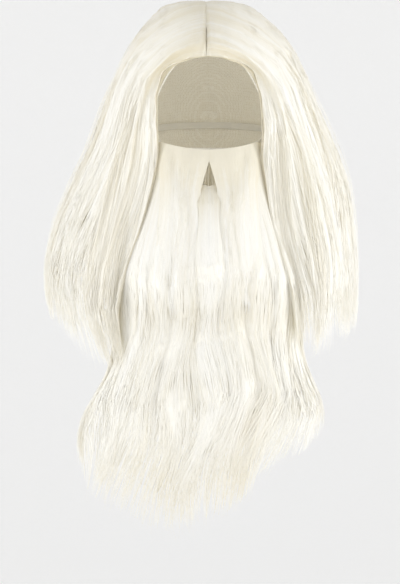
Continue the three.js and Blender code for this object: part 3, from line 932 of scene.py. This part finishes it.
class Finish:
    """A procedural material."""

    def __init__(self, name):
        self.material = bpy.data.materials.new(name)
        self.material.use_nodes = True
        self.tree = self.material.node_tree
        self.shader = self.tree.nodes["Principled BSDF"]

    def put(self, socket, value):
        if isinstance(value, Value):
            self.tree.links.new(value.socket, socket)
        else:
            socket.default_value = value

    def node(self, kind, settings, sockets, output=0):
        made = self.tree.nodes.new(kind)
        for name, value in settings.items():
            setattr(made, name, value)
        for name, value in sockets.items():
            self.put(made.inputs[name], value)
        return Value(self, made.outputs[output])

    def set(self, **sockets):
        for name, value in sockets.items():
            self.put(self.shader.inputs[name.replace("_", " ")], value)

    def mix(self, share, low, high):
        settings = {"data_type": "RGBA"}
        sockets = {"Factor": share, 6: low, 7: high}
        return self.node("ShaderNodeMix", settings, sockets, output=2)

    def attribute(self, name):
        return self.node("ShaderNodeAttribute", {"attribute_name": name}, {}, output="Fac")

    def place(self):
        return self.node("ShaderNodeTexCoord", {}, {}, output="Object")

    def axis(self, name):
        return self.node("ShaderNodeSeparateXYZ", {}, {0: self.place()}, output=name)

    def wave(self, value, period):
        """0 to 1 and back, once in each period in metres."""
        turned = value * (2 * math.pi / period)
        return self.node("ShaderNodeMath", {"operation": "SINE"}, {0: turned}) * 0.5 + 0.5

    def noise(self, scale, detail):
        sockets = {"Vector": self.place(), "Scale": scale, "Detail": detail}
        return self.node("ShaderNodeTexNoise", {}, sockets)

    def bump(self, height, strength, distance):
        sockets = {"Height": height, "Strength": strength, "Distance": distance}
        return self.node("ShaderNodeBump", {}, sockets)


HAIR_LOOK = Named(roughness=0.5, smoother=0.1, specular=0.35)
# Fine streaks: how many across and along the hair, and how strong
STREAKS = Named(across=170, along=5, contrast=0.8)


def hair_finish(name, crease, light):
    """Synthetic hair from cream to near white, with random changes, painted shade in the creases and at
    the roots and painted light where it stands out, a soft sheen.
    """
    finish = Finish(name)
    tone = finish.attribute("tone")
    settings = {"interpolation_type": "SMOOTHSTEP"}
    sockets = {"Value": finish.attribute("share"), "From Max": TONE.root_end}
    grown = finish.node("ShaderNodeMapRange", settings, sockets)
    finish.set(
        Base_Color=finish.mix(lightness(tone, grown), crease, light),
        Roughness=HAIR_LOOK.roughness - tone * HAIR_LOOK.smoother,
        Specular_IOR_Level=HAIR_LOOK.specular,
    )
    return finish.material


def mass_finish(name, crease, light):
    """The hair under the outer strands: the same colours, with their painted shade and painted light, and
    fine streaks along its fall.
    """
    finish = Finish(name)
    across = finish.attribute("across") * STREAKS.across
    along = finish.attribute("share") * STREAKS.along
    flow = finish.node("ShaderNodeCombineXYZ", {}, {"X": across, "Y": along})
    streak = finish.node("ShaderNodeTexNoise", {}, {"Vector": flow, "Scale": 1.0, "Detail": 3})
    tone = finish.attribute("tone") + (streak - 0.5) * STREAKS.contrast
    finish.set(
        Base_Color=finish.mix(tone, crease, light),
        Roughness=HAIR_LOOK.roughness,
        Specular_IOR_Level=HAIR_LOOK.specular,
        Normal=finish.bump(streak, strength=0.3, distance=0.0008),
    )
    return finish.material


def woven_finish(name, thread, gap, pitch):
    """Woven cloth: threads that cross at a pitch in metres."""
    finish = Finish(name)
    across = finish.wave(finish.axis("X") + finish.axis("Y"), pitch)
    down = finish.wave(finish.axis("Z"), pitch)
    weave = across * 0.5 + down * 0.5
    worn = finish.noise(scale=60, detail=3) * 0.3
    finish.set(
        Base_Color=finish.mix(weave * 0.7 + worn, gap, thread),
        Roughness=0.9,
        Normal=finish.bump(weave, strength=0.5, distance=0.0004),
    )
    return finish.material


def net_finish(name, thread, gap):
    """Stretch net: fine cells between threads."""
    finish = Finish(name)
    sockets = {"Vector": finish.place(), "Scale": 520, "Randomness": 0.35}
    settings = {"feature": "DISTANCE_TO_EDGE"}
    cell = finish.node("ShaderNodeTexVoronoi", settings, sockets) * 4
    worn = finish.noise(scale=40, detail=3) * 0.3
    finish.set(
        Base_Color=finish.mix(1 - cell + worn, gap, thread),
        Roughness=0.85,
        Normal=finish.bump(1 - cell, strength=0.4, distance=0.0003),
    )
    return finish.material


def ribbed_finish(name, rib, groove):
    """Ribbed elastic: ribs along the band, with a fine cross thread."""
    finish = Finish(name)
    ribs = finish.wave(finish.axis("Z"), period=0.0013)
    thread = finish.wave(finish.axis("X"), period=0.0011)
    height = ribs * 0.75 + thread * 0.25
    finish.set(
        Base_Color=finish.mix(height, groove, rib),
        Roughness=0.75,
        Normal=finish.bump(height, strength=0.5, distance=0.0004),
    )
    return finish.material


def dress(piece, node, material):
    """A made piece takes the place of a solid and its finish."""
    piece.data.materials.append(material)
    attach(piece, "root")
    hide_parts(node)


LIT_POINT = (0, 0, -0.25)


def light(name, place, size, watts, colour=(1, 1, 1)):
    """A round soft lamp that faces the middle of the hair."""
    lamp = bpy.data.lights.new(name, "AREA")
    lamp.shape = "DISK"
    lamp.size = size
    lamp.energy = watts
    lamp.color = colour
    made = bpy.data.objects.new(name, lamp)
    made.location = place
    aim = np.array(LIT_POINT) - np.array(place)
    pitch = math.atan2(math.hypot(aim[0], aim[1]), -aim[2])
    made.rotation_euler = (pitch, 0, math.atan2(-aim[0], aim[1]))
    bpy.context.scene.collection.objects.link(made)


BOWL = Named(floor=4.5, floor_z=-1.45, bend=2.0, bend_steps=16, wall=4.0, spokes=96)
PAPER = Named(shade=(0.96, 0.96, 0.955, 1), light=(0.98, 0.98, 0.98, 1), glow=0.025)


def backdrop():
    """A pale seamless bowl: a round floor that turns up into a wall all round."""
    bend = np.linspace(0, math.pi / 2, BOWL.bend_steps)
    radii = [0, *(BOWL.floor + BOWL.bend * np.sin(bend)), BOWL.floor + BOWL.bend]
    heights = [0, *(BOWL.bend * (1 - np.cos(bend))), BOWL.wall]
    profile = [(radius, 0, BOWL.floor_z + height) for radius, height in zip(radii, heights)]
    made = spun(profile, BOWL.spokes)
    bmesh.ops.recalc_face_normals(made, faces=made.faces[:])
    bmesh.ops.reverse_faces(made, faces=made.faces[:])
    piece = finished("backdrop", made)
    finish = Finish("pale_paper")
    speckle = finish.noise(scale=90, detail=2)
    finish.set(Base_Color=finish.mix(speckle, PAPER.shade, PAPER.light), Roughness=0.9)
    finish.set(Emission_Color=(1, 1, 1, 1), Emission_Strength=PAPER.glow)
    piece.data.materials.append(finish.material)


BOUNCES = 12  # light passes on from strand to strand, which keeps pale hair bright
WORLD_STRENGTH = 0.78
CAMERA = Named(place=(-0.0103, -2.7, -0.327), lens=93.4, sensor_height=24)


def studio():
    """Soft white light all round, and the camera straight in front."""
    scene = bpy.context.scene
    scene.view_settings.view_transform = "Standard"
    scene.cycles.diffuse_bounces = BOUNCES
    world = bpy.data.worlds.new("soft_white")
    world.use_nodes = True
    sky = world.node_tree.nodes["Background"]
    sky.inputs["Color"].default_value = (1, 1, 1, 1)
    sky.inputs["Strength"].default_value = WORLD_STRENGTH
    scene.world = world
    backdrop()
    light("front", (0, -3.4, -0.5), size=2.6, watts=1.5, colour=(1, 1, 0.985))
    light("key", (1.1, -2.2, 0.2), size=1.2, watts=2.4, colour=(1, 0.99, 0.97))
    light("left_fill", (-2.6, -1.0, -0.4), size=1.2, watts=22)
    light("right_fill", (2.6, -1.0, -0.4), size=1.2, watts=25)
    camera()


def camera():
    lens = bpy.data.cameras.new("camera")
    lens.sensor_fit = "VERTICAL"
    lens.sensor_height = CAMERA.sensor_height
    lens.lens = CAMERA.lens
    made = bpy.data.objects.new("camera", lens)
    made.location = CAMERA.place
    made.rotation_euler = (math.pi / 2, 0, 0)
    bpy.context.scene.collection.objects.link(made)
    bpy.context.scene.camera = made


# Colours of the hair: cream, which is also its painted shade in the creases, and near white where it
# stands out, which is partly painted light
HAIR_COLOURS = ((0.88, 0.83, 0.69, 1), (0.985, 0.975, 0.93, 1))
wig_hair = hair_finish("wig_hair", *HAIR_COLOURS)
wig_mass = mass_finish("wig_hair_mass", *HAIR_COLOURS)
beard_hair = hair_finish("beard_hair", *HAIR_COLOURS)
beard_mass = mass_finish("beard_hair_mass", *HAIR_COLOURS)
# Painted shade: how much creamier the hair is made in places, and the drops over which each begins or ends
PAINTED_SHADE = Named(
    crown=0.18, crown_ends=(20, 110), mouth=0.35, mouth_ends=(205, 270), lip=0.5, lip_ends=(190, 260),
    layer=0.3, layer_begins=(320, 345), layer_ends=(355, 390), tips=0.45, tips_begin=(490, 580),
)


def crown_painted_shade(drop):
    """Painted shade: the wig is creamier over the crown."""
    return PAINTED_SHADE.crown * (1 - smooth(drop, *PAINTED_SHADE.crown_ends))


def beard_painted_shade(drop):
    """Painted shade: the beard is creamier round the mouth, under its upper layer and towards its tips."""
    mouth = PAINTED_SHADE.mouth * (1 - smooth(drop, *PAINTED_SHADE.mouth_ends))
    layer = PAINTED_SHADE.layer * smooth(drop, *PAINTED_SHADE.layer_begins) * (1 - smooth(drop, *PAINTED_SHADE.layer_ends))
    return mouth + layer + PAINTED_SHADE.tips * smooth(drop, *PAINTED_SHADE.tips_begin)


def lip_painted_shade(drop):
    """Painted shade: the moustache is creamier near its root."""
    return PAINTED_SHADE.lip * (1 - smooth(drop, *PAINTED_SHADE.lip_ends))


WIG_FALL = {"locks": 8, "wave": 4, "painted_shade": crown_painted_shade}
SIDE_FALL = {"breadth": 240, "thin": (0.1, 0), **WIG_FALL}
HALF_FALL = {"locks": 3, "breadth": 50, "wave": 1.5, "flick": 4, "thin": (0.16, 0.4), "painted_shade": lip_painted_shade}
WIG = [
    Mass("hair_left", side_place(-1), salt=2, flick=26, **SIDE_FALL),
    Mass("hair_right", side_place(1), salt=4, flick=24, **SIDE_FALL),
    Mass("hair_back", back_place, salt=7, flick=12, breadth=330, thin=(0, 0), **WIG_FALL),
]
BEARD_MASS = Mass(
    "beard_hair", beard_place, locks=11, salt=11, breadth=250, wave=2, flick=22, thin=(0.08, 0.08),
    painted_shade=beard_painted_shade,
)
HALVES = [
    Mass("moustache_left", moustache_place(-1), salt=16, **HALF_FALL),
    Mass("moustache_right", moustache_place(1), salt=18, **HALF_FALL),
]
for mass, count, width in zip(WIG, (2400, 2400, 2000), (1.12, 1.12, 1.3)):
    dress(under_hair(mass, columns=120, rows=40, end=0.85), mass.name, wig_mass)
    dress(outer_hair(mass, count, steps=14, ragged=90, width=width), mass.name, wig_hair)
dress(under_hair(BEARD_MASS, columns=132, rows=44, end=0.93), "beard_hair", beard_mass)
outer = outer_hair(BEARD_MASS, count=2480, steps=14, ragged=60, width=1)
dress(outer, "beard_hair", beard_hair)
for mass in HALVES:
    dress(under_hair(mass, columns=30, rows=40, end=0.66), mass.name, beard_mass)
    dress(outer_hair(mass, count=800, steps=10, ragged=170, width=1), mass.name, beard_hair)

net = net_finish("cap_net", (0.95, 0.93, 0.86, 1), (0.82, 0.78, 0.68, 1))
cap = cap_net("wig_cap_net")
dress(cap, "wig_cap", net)

seam = woven_finish("seam_cloth", (0.80, 0.72, 0.55, 1), (0.62, 0.52, 0.36, 1), pitch=0.0009)
strip = slab("parting_strip", columns=6, rows=60, place=seam_place)
dress(strip, "parting_seam", seam)

cloth = woven_finish("backing_cloth", (0.84, 0.80, 0.70, 1), (0.68, 0.62, 0.50, 1), pitch=0.0012)
backing = slab("beard_panel", BACKING.columns, BACKING.rows, backing_place, hole=in_mouth)
dress(backing, "beard_backing", cloth)

ribbed = ribbed_finish("elastic_band", (0.9, 0.89, 0.85, 1), (0.74, 0.72, 0.66, 1))
band = slab("ribbed_band", columns=160, rows=20, place=elastic_place)
dress(band, "beard_elastic", ribbed)

studio()
